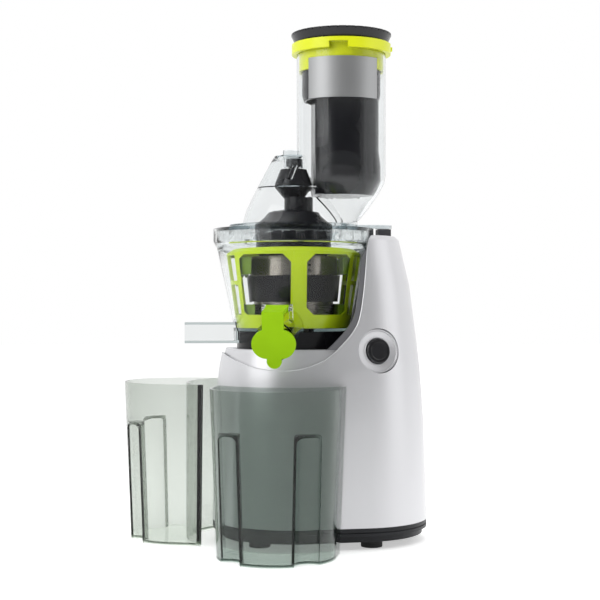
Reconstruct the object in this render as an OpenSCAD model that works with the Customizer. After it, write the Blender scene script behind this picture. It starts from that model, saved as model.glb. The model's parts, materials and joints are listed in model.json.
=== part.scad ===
/* [Body] */
// How far the tower's top stays below the bowl's rim
tower_drop = 7.3; // [5:0.1:12]
// Height of the silver shell's lower edge
shell_z = 22; // [18:1:26]
// Radius of the body under the bowl, at the shell's lower edge
bowl_side_r = 80; // [78:0.5:82]
// Distance of the tower's axis from the bowl's axis
tower_x = 58; // [54:0.5:62]
// Radius of the body round the tower's axis, at the shell's lower edge
tower_side_r = 75.7; // [74:0.1:78]
// Thickness of the shell's wall
shell_wall = 2.6; // [2:0.1:3.2]
// Height of the deck that carries the bowl
deck_z = 191; // [189:0.5:193]
// Thickness of the deck and of the tower's liner
deck_t = 3; // [2.4:0.1:3.6]
// Diameter of each rubber foot
foot_d = 21; // [18:0.5:24]
// Height of the rubber feet
foot_h = 8; // [7:0.5:9]

/* [Button] */
// Diameter of the push button's cap
button_d = 24; // [20:0.5:26]
// Outer diameter of the dished ring round the button
dish_d = 43; // [40:0.5:46]
// How far the button travels
button_travel = 2.5; // [2:0.1:3]
// Height of the button's centre
button_z = 190; // [186:0.5:194]
// Angle of the button on the tower, from the front
button_az = 17.5; // [12:0.5:20]

/* [Drive] */
// Radius of the black coupling collar
collar_r = 56.5; // [55:0.5:57]
// Height of the coupling collar
collar_h = 17; // [16:0.5:18]
// Module of the first gear stage
first_mod = 1; // [1:0.05:1.05]
// Module of the second gear stage
second_mod = 1.25; // [1.2:0.05:1.25]
// Teeth of both pinions
pinion_teeth = 12; // [12:1:13]
// Teeth of both large gears
wheel_teeth = 60; // [56:1:60]
// Width across the flats of the output shaft's hexagon
hex_af = 14; // [12:0.5:16]
// Outer diameter of the motor
motor_d = 74; // [68:1:76]

/* [Bowl] */
// Outer radius at the bowl's floor
bowl_floor_r = 58.5; // [58:0.5:60]
// Outer radius where the wall meets the rim
bowl_top_r = 75; // [74:0.5:76]
// Outer radius of the rim
rim_r = 80; // [79:0.5:81]
// Height of the bowl, from its underside to its rim
bowl_h = 101; // [100:0.5:102]
// Wall of the clear parts
clear_wall = 2.3; // [2:0.1:2.6]
// Outer diameter of the juice spout
spout_d = 38; // [36:0.5:39]
// Distance from the bowl's axis to the juice spout's end
spout_reach = 110; // [106:1:114]
// Downward slope of the juice spout
spout_tilt = 13; // [11:0.5:15]
// Angle of the juice spout and its cup, from the front
spout_az = 14; // [10:0.5:15]
// Distance from the bowl's axis to the pulp spout's end
pulp_reach = 108.5; // [105:0.5:112]
// Width of the pulp spout
pulp_w = 32; // [28:1:36]

/* [Juicing set] */
// Outer radius of the strainer's upper metal
strainer_r = 43.6; // [43:0.2:44]
// Teeth of the auger's gear
sun_teeth = 16; // [16:2:16]
// Teeth of the idler gear
idler_teeth = 20; // [20:2:20]
// Thickness of the brush frame
frame_t = 3; // [2.6:0.1:3.2]
// Width of the brush frame's posts
post_w = 15; // [13:0.5:17]

/* [Lid and pusher] */
// Outer radius of the feed chute
chute_r = 44.7; // [44:0.1:46]
// Distance of the chute's axis from the bowl's axis
chute_x = 48; // [46:0.5:50]
// Height of the chute's top
chute_top = 490; // [480:1:500]
// Height of the hood's top plate
hood_top = 382; // [380:0.5:384]
// Outer radius of the chute's collar
collar_lip_r = 49.5; // [49:0.1:51]
// Radius of the pusher's flared rim
pusher_rim_r = 50; // [50:0.5:52]
// Height of the pusher's rim above the collar
pusher_head = 10; // [9:0.5:12]

/* [Cups] */
// Height of both cups
cup_h = 157; // [150:1:160]
// Radius of the cups' round front, at the rim
cup_r = 62; // [60:0.5:62]
// Wall of the cups
cup_wall = 2.4; // [2:0.1:2.8]
// Gap between the body and the juice cup's back
juice_gap = 12; // [10:1:16]
// Gap between the body and the pulp cup's back
pulp_gap = 24; // [20:1:30]
// Width of each grip flute
flute_w = 28; // [26:0.5:30]
// Distance from the rim down to a flute's top
flute_drop = 39; // [36:1:42]

/* [Hidden] */
$fn = 72;

// Gap of a loose fit, gap of a running fit and a small overlap that keeps cuts clean
gap = 0.2;
running = 0.08;
eps = 0.01;

// Heights that stack up from the deck
collar_top = deck_z + collar_h;
bowl_z = collar_top + 0.3;
floor_top = bowl_z + clear_wall + 0.7;
rim_z = bowl_z + bowl_h;
rim_low = rim_z - 13;
lobe_z = rim_z + 0.4;
body_h = rim_z - tower_drop;

// Outline of the body: height, radius under the bowl and radius round the tower
stations = [
    [shell_z, bowl_side_r + 1, tower_side_r],
    [0.4 * body_h, bowl_side_r - 2, tower_side_r - 3.7],
    [deck_z - 37, bowl_side_r - 3.5, tower_side_r - 6],
    [deck_z - 17, bowl_side_r - 6, tower_side_r - 7.6],
    [deck_z - 7, bowl_side_r - 11.5, tower_side_r - 8.7],
    [deck_z, bowl_side_r - 15, tower_side_r - 9.6],
    [0.84 * body_h, bowl_side_r - 26, tower_side_r - 17.7],
    [body_h - 4, bowl_side_r - 32, tower_side_r - 28],
    [body_h, bowl_side_r - 36, tower_side_r - 32]
];
body_far_x = tower_x + tower_side_r;

// The sweep of the shell's edge, from the left shoulder under the bowl and up the tower
sweep_marks = [
    [-96, 10], [-80, 3], [-66, -7], [-50, -14], [-34, -18], [-14, -19.2], [7, -16], [26.6, -7.5],
    [41.7, 6], [52, 18], [58.5, 32], [63.5, 63], [68, 108], [69, 130]
];
strip_w = 4;
sweep_line = smooth([for (m = sweep_marks) [m[0], m[1] + deck_z]], 4);

function smooth(p, n) = [
    for (i = [0:len(p) - 2])
        for (j = [0:n - 1])
            let (t = j / n, a = p[max(i - 1, 0)], b = p[i], c = p[i + 1], d = p[min(i + 2, len(p) - 1)])
            0.5 * (2 * b + (c - a) * t + (2 * a - 5 * b + 4 * c - d) * pow(t, 2)
                + (3 * b - a - 3 * c + d) * pow(t, 3)),
    p[len(p) - 1]
];

// Gear centres: motor, intermediate gear and output
first_c = first_mod * (pinion_teeth + wheel_teeth) / 2;
second_c = second_mod * (pinion_teeth + wheel_teeth) / 2;
motor_c = sqrt(pow(second_c, 2) - pow(first_c, 2));
motor_turn = acos(motor_c / second_c);
motor_at = [motor_c * cos(motor_turn), -motor_c * sin(motor_turn)];
mid_at = [second_c, 0];
shaft_r = hex_af / 2 / cos(30) - 0.1;
tray_z = deck_z - 71;
first_z = tray_z + 8;
second_z = first_z + 14;
box_top = deck_z - 26;
motor_z = 30;

// The drive of the brush frame
ring_wall = 13.7;
ring_teeth = sun_teeth + 2 * idler_teeth;
brush_mod = 2 * (bowl_floor_r - ring_wall) / ring_teeth;
idler_c = brush_mod * (sun_teeth + idler_teeth) / 2;
idler_angle = 70;
gear_z = floor_top + 0.3;
gear_h = 8;
mesh_z = gear_z + gear_h + 1.5;

// The strainer's levels
band_z = mesh_z + 16;
upper_z = band_z + 26;
strainer_top = upper_z + 20;
band_r = strainer_r + 2.9;
mesh_r = strainer_r - 4;

// The cups' axis and back, measured from the bowl's axis
cup_back_r = bowl_side_r + 5;
cup_c = cup_back_r + 5;

// The whole object's box, whose middle is the origin
far_left = -((cup_c + pulp_gap - 4) * cos(spout_az) + cup_r);
near_edge = -((cup_c + juice_gap - 4) * cos(spout_az) + cup_r);
far_edge = max(bowl_side_r + 1, (cup_c + pulp_gap - 4) * sin(spout_az) + cup_r);
mid_x = (far_left + body_far_x) / 2;
mid_y = (near_edge + far_edge) / 2;

// How far the tangents' ends sit inside their circles, so that they cross them cleanly
seam = 0.02;

// Lean of the button's face and the places of the feet
button_lean = 6;
foot_y = tower_side_r - 27.7;
foot_spots = [for (x = [-0.45 * bowl_side_r, tower_x + 14], y = [-1, 1])
    [x, y * (x > 0 ? foot_y : foot_y - 10)]];

// Screw bosses between shell and plinth
boss_r = bowl_side_r - 10;
boss_far_r = tower_side_r - 13.7;
boss_spots = [for (a = [130, 230]) [boss_r * cos(a), boss_r * sin(a)]];
boss_far = [for (a = [-50, 50]) [tower_x + boss_far_r * cos(a), boss_far_r * sin(a)]];
boss_low = shell_z + 9;

// Cord gland, floor of the plinth and pillars of the gearbox
gland_r = 7;
gland_turn = 60;
gland_z = shell_z + 20;
floor_z = foot_h + 3;
spigot_gap = 0.8;
pillar_r = second_mod * wheel_teeth / 2 - 1.5;
pillar_spots = [
    [pillar_r * cos(120), pillar_r * sin(120)], [pillar_r * cos(200), pillar_r * sin(200)],
    [mid_at[0] + 14, 24], [mid_at[0] + 14, -24]
];

// Motor, bearings, pins and seals
motor_h = tray_z - motor_z - 16;
rotor_r = 21;
motor_bearing_r = 11;
bearing_r = shaft_r + 5;
pin_r = 4;
motor_shaft_r = 4;
seal_r = shaft_r + 6;

// Top of the output shaft
hex_top = floor_top + 38;

// Radius of the button
button_r = button_d / 2;

// Height of the juice spout's mouth
end_z = floor_top - 10.5;

// Hinge of the juice cap, measured from the spout's mouth
hinge_up = spout_d / 2 + 6.5;
hinge_back = 22;
hinge_r = 2;

// Ledge under the bowl's rim
ledge_z = rim_low - 1.5;

// Hub on the bowl's floor
hub_r = 12;

// Levels and radii of the brush frame
frame_low = gear_z;
frame_foot = gear_z + gear_h + 2;
frame_shoulder = rim_low - 12;
frame_top = rim_low - 5;
frame_r = wall_r(frame_shoulder) - 5.8;
foot_r = wall_r(frame_low) - 1.2;
bar_turn = 62;

// Windows of the brush frame and the bars in them
window_low = frame_foot + 3;
window_top = frame_shoulder - 1;
bar_w = 3.6;
bar_shift = 4;
side_post = 9;

// Boss on the hood's top and the lid's lobe over the lock socket
hood_boss_x = -3.2;
hood_boss_r = 7.3;
hood_boss_h = 6;
lobe_x = 85;
lobe_r = 14;
// Levels and core of the auger
auger_low = mesh_z + 0.5;
auger_core = mesh_r - 14;
pin_top = hood_top - 4;

// Steel insert in the auger
insert_r = hex_af / 2 / cos(30) + 2.4;

// Throat and top plate of the lid
throat_r = 44.7;
plate_top = rim_z + 4;
throat_top = plate_top + 3.7;

// Skirt of the chute's collar
skirt_r = chute_r - clear_wall - gap;
skirt_in = skirt_r - 2.4;

// Bare plate on the chute
label_w = 67;
label_h = 40;

// Levels of the pusher and the flat on its side
push_z = throat_top + 26;
step_z = chute_top - 53;
stem_r = skirt_in - 2.3;
push_gap = 0.9;
flat_x = 9.2 - stem_r;

// How much narrower the cups are at the bottom
cup_taper = 0.9;

// Lean of the flutes, as the cup's wall
flute_lean = atan((1 - cup_taper) * cup_r / cup_h);

// Moves what is drawn round the bowl's axis to the object's own origin
module place() {
    translate([-mid_x, -mid_y, 0])
        children();
}

// A flat tube
module ring(outer, inner, h) {
    difference() {
        cylinder(h = h, r = outer);
        translate([0, 0, -1])
            cylinder(h = h + 2, r = inner);
    }
}

// The body's plan at the counter: two circles and their common tangents
module plan(inset) {
    a = bowl_side_r + 1 - inset;
    b = tower_side_r - inset;
    lean = acos((a - b) / tower_x);
    circle(r = a);
    translate([tower_x, 0])
        circle(r = b);
    polygon([
        [(a - seam) * cos(lean), (a - seam) * sin(lean)],
        [tower_x + (b - seam) * cos(lean), (b - seam) * sin(lean)],
        [tower_x + (b - seam) * cos(lean), (seam - b) * sin(lean)],
        [(a - seam) * cos(lean), (seam - a) * sin(lean)]
    ]);
}

// The body's outside, drawn in by an inset
module body_form(inset) {
    hull()
        for (s = stations) {
            z = min(s[0], body_h - inset);
            translate([0, 0, z - eps])
                cylinder(h = eps, r = s[1] - inset, $fn = 96);
            translate([tower_x, 0, z - eps])
                cylinder(h = eps, r = s[2] - inset, $fn = 96);
        }
}

// All that lies on the bowl's side of the sweep, moved by an offset
module sweep_side(dx, dz) {
    rotate([90, 0, 0])
        linear_extrude(height = 240, center = true)
            polygon(concat(
                [for (p = sweep_line) [p[0] + dx, p[1] + dz]],
                [[70 + dx, 400], [-200, 400], [-200, deck_z + 10 + dz]]
            ));
}

// The space kept free round the bowl
module bowl_pocket(grow) {
    rotate_extrude($fn = 96)
        polygon([
            [0, deck_z - eps], [bowl_floor_r + 10 + grow, deck_z - eps],
            [bowl_top_r + 6 + grow, rim_low - 12], [rim_r + 3 + grow, rim_low - 6],
            [rim_r + 3 + grow, body_h + 20], [0, body_h + 20]
        ]);
}

// Stands a piece on the tower's side at the button, its axis pointing outward
module at_button(depth) {
    near = tower_side_r - 9.6;
    translate([tower_x + near * sin(button_az), -near * cos(button_az), button_z])
        rotate([0, 0, button_az])
            rotate([90 - button_lean, 0, 0])
                translate([0, 0, -depth])
                    children();
}

// Stands a piece on the back of the tower where the cord goes in, its axis pointing outward
module at_gland(out) {
    translate([tower_x, 0, gland_z])
        rotate([0, 0, gland_turn])
            translate([tower_side_r + out, 0, 0])
                rotate([0, 90, 0])
                    children();
}

// Puts a piece at each of four places under the body
module at_feet() {
    for (p = foot_spots)
        translate([p[0], p[1], 0])
            children();
}

// Involute gear tooth by tooth: module, teeth, pressure angle 25 degrees, flank gap
function involute(base, a) = [
    base * (cos(a) + a * PI / 180 * sin(a)),
    base * (sin(a) - a * PI / 180 * cos(a))
];
function turned(p, a) = [p[0] * cos(a) - p[1] * sin(a), p[0] * sin(a) + p[1] * cos(a)];
function spread(r, base) = sqrt(max(pow(r / base, 2) - 1, 0)) * 180 / PI;
function gear_points(m, n, add, ded, thin) =
    let (
        pitch = m * n / 2,
        base = pitch * cos(25),
        tip = pitch + add,
        root = pitch - ded,
        low = max(base, root),
        half = 90 / n - thin / pitch * 90 / PI,
        at_pitch = spread(pitch, base) - atan(spread(pitch, base) * PI / 180),
        a0 = spread(low, base),
        a1 = spread(tip, base)
    )
    [for (k = [0:n - 1]) each concat(
        low > base ? [] : [turned([root, 0], k * 360 / n - half - at_pitch)],
        [for (i = [0:4]) turned(involute(base, a0 + (a1 - a0) * i / 4), k * 360 / n - half - at_pitch)],
        [for (i = [4:-1:0]) let (p = involute(base, a0 + (a1 - a0) * i / 4))
            turned([p[0], -p[1]], k * 360 / n + half + at_pitch)],
        low > base ? [] : [turned([root, 0], k * 360 / n + half + at_pitch)]
    )];

module gear(m, n, h, phase, thin = 0.12) {
    rotate([0, 0, phase])
        linear_extrude(height = h)
            polygon(gear_points(m, n, m, 1.25 * m, thin));
}

// A hexagon across its flats
module hexagon(af, h) {
    cylinder(h = h, r = af / 2 / cos(30), $fn = 6);
}

// A screw with a domed head, its head at the bottom
module screw(length, d) {
    cylinder(h = 2.2, r = d);
    translate([0, 0, 2.2 - eps])
        cylinder(h = length - 2.2 + eps, r = d / 2);
}

// Silver upper shell of the base, with the tower that stands behind the bowl
module body_shell() {
    color("#c8cad2")
        place()
            union() {
                difference() {
                    body_form(0);
                    body_form(shell_wall);
                    translate([0, 0, shell_z - 2])
                        linear_extrude(height = 2 + eps)
                            plan(shell_wall);
                    sweep_side(0, 0);
                    bowl_pocket(0);
                    at_button(30)
                        cylinder(h = 40, r = dish_d / 2 + gap);
                    at_gland(-12)
                        rotate([0, 0, 25])
                            cylinder(h = 20, r = gland_r + gap);
                }
                intersection() {
                    body_form(1);
                    for (p = concat(boss_spots, boss_far))
                        translate([p[0], p[1], boss_low])
                            difference() {
                                union() {
                                    cylinder(h = 24, r = 4);
                                    rotate([0, 0, atan2(p[1], p[0] - (p[0] > 0 ? tower_x : 0))])
                                        translate([0, -1.5, 0])
                                            cube([14, 3, 24]);
                                }
                                translate([0, 0, -1])
                                    cylinder(h = 20, r = 1.6);
                            }
                }
            }
}

// Silver deck under the bowl, with the skirt that shows above the shell's edge
module deck() {
    color("#c2c4cc")
        place()
            difference() {
                intersection() {
                    body_form(shell_wall + gap);
                    union() {
                        intersection() {
                            sweep_side(0, -12);
                            translate([-150, -150, deck_z - 40])
                                cube([300, 300, 40]);
                        }
                        translate([-150, -150, deck_z - deck_t])
                            cube([400, 300, deck_t]);
                    }
                }
                intersection() {
                    body_form(shell_wall + gap + deck_t);
                    translate([-150, -150, deck_z - 60])
                        cube([400, 300, 60 - deck_t]);
                }
                translate([0, 0, deck_z - 10])
                    cylinder(h = 20, r = seal_r + gap);
                at_button(34)
                    cylinder(h = 50, r = dish_d / 2 + 3.5);
            }
}

// Dark liner of the tower: the strips beside the bowl and the hollow wall behind it
module tower_liner() {
    color("#4a4c52")
        place()
            difference() {
                union() {
                    intersection() {
                        body_form(1);
                        sweep_side(-gap, 0);
                    }
                    intersection() {
                        body_form(shell_wall + gap);
                        union() {
                            sweep_side(deck_t, 0);
                            bowl_pocket(deck_t);
                        }
                    }
                }
                bowl_pocket(0);
                sweep_side(-strip_w, strip_w + 1);
                intersection() {
                    body_form(shell_wall + gap + 2);
                    sweep_side(0, 0);
                }
                translate([-150, -150, deck_z - 60])
                    cube([400, 300, 60.1]);
                at_button(34)
                    cylinder(h = 50, r = dish_d / 2 + 3.5);
            }
}

// Black plinth: floor, step, flange and the spigot inside the shell
module base_plate() {
    color("#26272b")
        place()
            difference() {
                union() {
                    translate([0, 0, foot_h])
                        linear_extrude(height = 6 + eps)
                            plan(5);
                    translate([0, 0, foot_h + 6])
                        linear_extrude(height = shell_z - foot_h - 6 - 3 * eps)
                            plan(0.5);
                    translate([0, 0, shell_z - 1])
                        linear_extrude(height = 8)
                            plan(shell_wall + spigot_gap);
                }
                translate([0, 0, floor_z])
                    linear_extrude(height = 40)
                        plan(8);
                translate([0, 0, foot_h + 9])
                    linear_extrude(height = 1.2)
                        difference() {
                            plan(-2);
                            plan(1.6);
                        }
                at_feet()
                    translate([0, 0, foot_h - 1])
                        cylinder(h = 8, r = 3 + gap);
                for (p = concat(boss_spots, boss_far))
                    translate([p[0], p[1], foot_h - 1]) {
                        cylinder(h = 3.2, r = 3.4);
                        cylinder(h = 10, r = 1.7);
                    }
                for (i = [-4:4])
                    translate([motor_at[0] + 6 * i - 1.5, motor_at[1] - 18, foot_h - 1])
                        cube([3, 36, 6]);
            }
    color("#26272b")
        place() {
            for (p = concat(boss_spots, boss_far))
                translate([p[0], p[1], floor_z - eps])
                    ring(4.5, 1.7, boss_low - floor_z - gap + eps);
            for (p = pillar_spots)
                translate([p[0], p[1], floor_z - eps])
                    difference() {
                        cylinder(h = tray_z - floor_z + eps, r = 4.5);
                        translate([0, 0, tray_z - floor_z - 14])
                            cylinder(h = 20, r = 1.6);
                    }
            for (a = [60, 180, 300])
                translate([motor_at[0] + 33 * cos(a), motor_at[1] + 33 * sin(a), floor_z - eps])
                    cylinder(h = motor_z - floor_z + eps, r = 3.5);
        }
}

// Rubber feet with their studs
module rubber_feet() {
    color("#1b1b1d")
        place()
            at_feet() {
                cylinder(h = foot_h, r = foot_d / 2);
                translate([0, 0, foot_h - eps])
                    cylinder(h = 5, r = 3);
            }
}

// Screws that hold the plinth to the shell
module bottom_screws() {
    color("#9a9ca0")
        place()
            for (p = concat(boss_spots, boss_far))
                translate([p[0], p[1], foot_h])
                    screw(boss_low - foot_h + 16, 3);
}

// Black collar that carries the bowl
module coupling_collar() {
    color("#1e1f22")
        place()
            translate([0, 0, deck_z])
                difference() {
                    cylinder(h = collar_h, r = collar_r);
                    translate([0, 0, -1])
                        cylinder(h = collar_h - 2.5, r = collar_r - 3);
                    cylinder(h = 40, r = seal_r + 4);
                }
}

// Black safety socket on the tower's top
module interlock_socket() {
    color("#1e1f22")
        place()
            translate([rim_r + 4, -9, body_h])
                difference() {
                    cube([13, 18, lobe_z - body_h - 0.4]);
                    translate([3, 5, 2])
                        cube([6, 8, 20]);
                }
}

// Outline of the gearbox
module box_plan(grow) {
    circle(r = second_mod * (wheel_teeth / 2 + 1) + grow);
    translate(mid_at)
        circle(r = first_mod * (wheel_teeth / 2 + 1) + grow);
}

module gearbox_tray() {
    color("#3a3c40")
        place()
            difference() {
                translate([0, 0, tray_z])
                    linear_extrude(height = box_top - 3 - tray_z)
                        box_plan(4);
                translate([0, 0, tray_z + 3.5])
                    linear_extrude(height = 60)
                        box_plan(1.4);
                translate([motor_at[0], motor_at[1], tray_z - 1])
                    cylinder(h = 10, r = 9);
                translate([mid_at[0], 0, tray_z + 1])
                    cylinder(h = 10, r = pin_r + 0.02);
                for (p = pillar_spots)
                    translate([p[0], p[1], tray_z - 1])
                        cylinder(h = 10, r = 1.7);
            }
}

module gearbox_cover() {
    color("#3a3c40")
        place()
            difference() {
                union() {
                    translate([0, 0, box_top - 3])
                        linear_extrude(height = 3)
                            box_plan(4);
                    translate([0, 0, box_top - eps])
                        cylinder(h = 8, r = bearing_r + 3);
                    translate([0, 0, box_top - 5])
                        linear_extrude(height = 2 + eps)
                            difference() {
                                box_plan(1.2);
                                box_plan(-0.8);
                            }
                }
                translate([0, 0, box_top - 10])
                    cylinder(h = 30, r = bearing_r + 0.02);
                translate([mid_at[0], 0, box_top - 6])
                    cylinder(h = 5, r = pin_r + 0.02);
            }
}

module gearbox_screws() {
    color("#9a9ca0")
        place()
            for (p = pillar_spots)
                translate([p[0], p[1], tray_z + 5.7])
                    rotate([180, 0, 0])
                        screw(15, 3);
}

// The motor's can with its stator and closed top
module motor_housing() {
    color("#8d9095")
        place()
            translate([motor_at[0], motor_at[1], motor_z + 6])
                difference() {
                    cylinder(h = motor_h, r = motor_d / 2);
                    translate([0, 0, -1])
                        cylinder(h = 11, r = motor_d / 2 - 2);
                    translate([0, 0, 10 - eps])
                        cylinder(h = motor_h - 20, r = rotor_r + 0.5);
                    translate([0, 0, motor_h - 10 - 2 * eps])
                        cylinder(h = 4, r = motor_d / 2 - 2);
                    cylinder(h = motor_h + 10, r = motor_bearing_r + 0.02);
                    for (a = [0:60:300])
                        rotate([0, 0, a])
                            translate([motor_d / 2 - 4, -5, 2])
                                cube([10, 10, 6]);
                }
}

module motor_end_plate() {
    color("#8d9095")
        place()
            translate([motor_at[0], motor_at[1], motor_z])
                difference() {
                    cylinder(h = 6, r = motor_d / 2);
                    translate([0, 0, -1])
                        cylinder(h = 10, r = motor_bearing_r + 0.02);
                    for (a = [0:60:300])
                        rotate([0, 0, a + 30])
                            translate([21, 0, -1])
                                cylinder(h = 10, r = 5);
                }
}

// Rotor, shaft and pinion in one piece
module motor_rotor() {
    color("#7a6a52")
        place()
            translate([motor_at[0], motor_at[1], 0]) {
                translate([0, 0, floor_z + 5])
                    cylinder(h = first_z - floor_z - 4, r = motor_shaft_r);
                translate([0, 0, motor_z + 18])
                    cylinder(h = motor_h - 24, r = rotor_r);
                translate([0, 0, first_z - 1])
                    gear(first_mod, pinion_teeth, second_z - first_z - 0.5, 90 - motor_turn);
            }
}

// Cooling fan on the rotor's lower end
module cooling_fan() {
    color("#303236")
        place()
            translate([motor_at[0], motor_at[1], floor_z + 6]) {
                ring(9, motor_shaft_r + 0.05, 9);
                for (a = [0:36:324])
                    rotate([0, 0, a])
                        translate([8.5, -0.75, 0.5])
                            cube([18, 1.5, 8]);
                ring(27, 26, 9);
            }
}

module motor_bearing(z) {
    translate([motor_at[0], motor_at[1], z])
        ring(motor_bearing_r, motor_shaft_r + running, 6);
}
module lower_motor_bearing() {
    color("#b9bbbf")
        place()
            motor_bearing(motor_z);
}
module upper_motor_bearing() {
    color("#b9bbbf")
        place()
            motor_bearing(motor_z + motor_h);
}

// Large first wheel and small second pinion, moulded together
module intermediate_gear() {
    color("#e6e2d2")
        place()
            translate([mid_at[0], 0, 0])
                difference() {
                    union() {
                        translate([0, 0, first_z + 1])
                            gear(first_mod, wheel_teeth, 10, 270 - motor_turn + 180 / wheel_teeth);
                        translate([0, 0, first_z + 11 - eps])
                            gear(second_mod, pinion_teeth, 19, 180);
                    }
                    translate([0, 0, first_z - 1])
                        cylinder(h = 50, r = pin_r + running);
                }
}

module intermediate_pin() {
    color("#b9bbbf")
        place()
            translate([mid_at[0], 0, tray_z + 1])
                cylinder(h = box_top - 2.5 - tray_z, r = pin_r);
}

module output_gear() {
    color("#e6e2d2")
        place()
            difference() {
                translate([0, 0, second_z])
                    gear(second_mod, wheel_teeth, 12, 180 / wheel_teeth);
                translate([0, 0, second_z - 1])
                    cylinder(h = 20, r = shaft_r + 0.05);
            }
}

// Output shaft with its hexagonal end inside the auger
module output_shaft() {
    color("#b9bbbf")
        place() {
            translate([0, 0, tray_z + 4])
                cylinder(h = collar_top - 10 - tray_z - 4, r = shaft_r);
            translate([0, 0, collar_top - 10 - eps])
                hexagon(hex_af, hex_top - collar_top + 10);
        }
}

// Lower and upper bearings of the output shaft
module output_bearing() {
    color("#b9bbbf")
        place()
            for (z = [tray_z + 3.5, box_top])
                translate([0, 0, z])
                    ring(bearing_r, shaft_r + running, 7);
}

module shaft_seal() {
    color("#2f2f33")
        place()
            translate([0, 0, deck_z - deck_t])
                ring(seal_r, shaft_r + running, deck_t + 5);
}

// Circuit board in the tower, standing in two ribs on the deck
module control_board() {
    color("#2f6b3c")
        place()
            translate([rim_r + 8, -22, deck_z + 0.1]) {
                cube([1.6, 44, 60]);
                for (i = [0:2])
                    translate([1.6 - eps, 4 + 13 * i, 12])
                        cube([6, 9, 18]);
                translate([1.6 - eps, 30, 44])
                    rotate([0, 90, 0])
                        cylinder(h = 7, r = 5);
            }
}

// Silver dished ring that the button sits in, with its guide sleeve
module button_dish() {
    color("#d2d4da")
        place()
            at_button(0)
                rotate_extrude()
                    polygon([
                        [button_r + 0.3, -5.2], [button_r + 1, -4.7], [button_r + 1.7, -5.5],
                        [dish_d / 2 - 2.4, -4.6], [dish_d / 2 - 1.5, -3.5], [dish_d / 2 - 0.5, -3.4],
                        [dish_d / 2, -3.9],
                        [dish_d / 2, -8.2], [dish_d / 2 + 2.5, -8.2], [dish_d / 2 + 2.5, -9.7],
                        [button_r + 2, -9.7], [button_r + 2, -16], [button_r + 0.3, -16]
                    ]);
}

// Black push button with a raised middle disc
module button_cap() {
    color("#232427")
        place()
            at_button(0)
                rotate_extrude()
                    polygon([
                        [0, -1.2], [button_r - 3.7, -1.2], [button_r - 3.2, -1.7], [button_r - 3.2, -3],
                        [button_r - 2.2, -3], [button_r - 2.2, -1.9], [button_r - 0.7, -1.9],
                        [button_r, -2.6], [button_r, -12], [button_r - 1.6, -12], [button_r - 1.6, -4.5],
                        [3, -4.5], [3, -16], [0, -16]
                    ]);
}

// Sprung switch behind the button, clipped to the sleeve's end
module button_switch() {
    color("#55585e")
        place()
            at_button(0) {
                translate([-9, -9, -30])
                    cube([18, 18, 14 - gap - button_travel]);
                translate([0, 0, -30])
                    difference() {
                        cylinder(h = 14, r = button_r + 2);
                        translate([0, 0, 2])
                            cylinder(h = 14, r = button_r);
                    }
            }
}

// Strain gland in the shell's back, low down
module cord_gland() {
    color("#1b1b1d")
        place()
            at_gland(-shell_wall - 4.5)
                difference() {
                    union() {
                        cylinder(h = 12.5, r = gland_r);
                        cylinder(h = 3, r = gland_r + 2.5);
                        translate([0, 0, 9.5])
                            cylinder(h = 3, r = gland_r + 2);
                    }
                    translate([0, 0, -1])
                        cylinder(h = 20, r = 3.6);
                }
}

// Turns local -Y to the juice spout's direction
module at_spout() {
    rotate([0, 0, -spout_az])
        children();
}

// The spout's end: local Z runs out along the spout, local Y up
module at_spout_end() {
    at_spout()
        translate([0, -spout_reach, end_z])
            rotate([90 + spout_tilt, 0, 0])
                children();
}

module bowl_out() {
    rotate_extrude($fn = 96)
        polygon([
            [0, bowl_z], [bowl_floor_r, bowl_z], [bowl_top_r, rim_low - 12], [bowl_top_r + 1.5, rim_low - 6],
            [rim_r, rim_low], [rim_r, rim_z], [0, rim_z]
        ]);
}
module bowl_in() {
    rotate_extrude($fn = 96)
        polygon([
            [0, floor_top], [bowl_floor_r - clear_wall, floor_top], [bowl_top_r - clear_wall, rim_low - 12],
            [bowl_top_r - clear_wall, ledge_z], [rim_r - clear_wall, ledge_z],
            [rim_r - clear_wall, rim_z + 1], [0, rim_z + 1]
        ]);
}
module below_floor(r) {
    translate([0, 0, floor_top - 60])
        cylinder(h = 60, r = r);
}

// Clear juice bowl with its round juice spout and its flat pulp spout
module juice_bowl() {
    color("#e8eef0", 0.4)
        place()
            difference() {
                union() {
                    bowl_out();
                    difference() {
                        union() {
                            at_spout_end()
                                translate([0, 0, -62])
                                    cylinder(h = 62, r = spout_d / 2);
                            at_spout_end()
                                for (sx = [-1, 1])
                                    translate([sx * 12.9 - 1.4, spout_d / 2 - 6, -hinge_back - 4])
                                        cube([2.8, hinge_up - spout_d / 2 + 9.5, 8]);
                            translate([-pulp_reach, -pulp_w / 2, bowl_z - 12])
                                cube([60, pulp_w, 20.5]);
                        }
                        translate([0, 0, bowl_z - 60])
                            cylinder(h = 60, r = collar_r + 0.8);
                    }
                }
                bowl_in();
                translate([0, 0, bowl_z - 1])
                    cylinder(h = 10, r = hub_r + 3.4 + gap);
                difference() {
                    at_spout_end()
                        translate([0, 0, -66])
                            cylinder(h = 63.5, r = spout_d / 2 - clear_wall);
                    below_floor(bowl_floor_r + 1.4);
                    translate([0, 0, floor_top - 1])
                        cylinder(h = 60, r = collar_r - 8);
                }
                at_spout_end()
                    translate([0, 0, -10])
                        cylinder(h = 20, r = 12.5);
                difference() {
                    translate([-pulp_reach - 1, -pulp_w / 2 + clear_wall, bowl_z - 12 + clear_wall])
                        cube([60, pulp_w - 2 * clear_wall, 20.5 - 2 * clear_wall]);
                    below_floor(bowl_floor_r + 1.4);
                }
                at_spout_end()
                    translate([-20, hinge_up, -hinge_back])
                        rotate([0, 90, 0])
                            cylinder(h = 40, r = hinge_r + 0.02);
                translate([idler_c * cos(idler_angle), idler_c * sin(idler_angle), floor_top - 2])
                    cylinder(h = 10, r = 3.02);
            }
}

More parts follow.
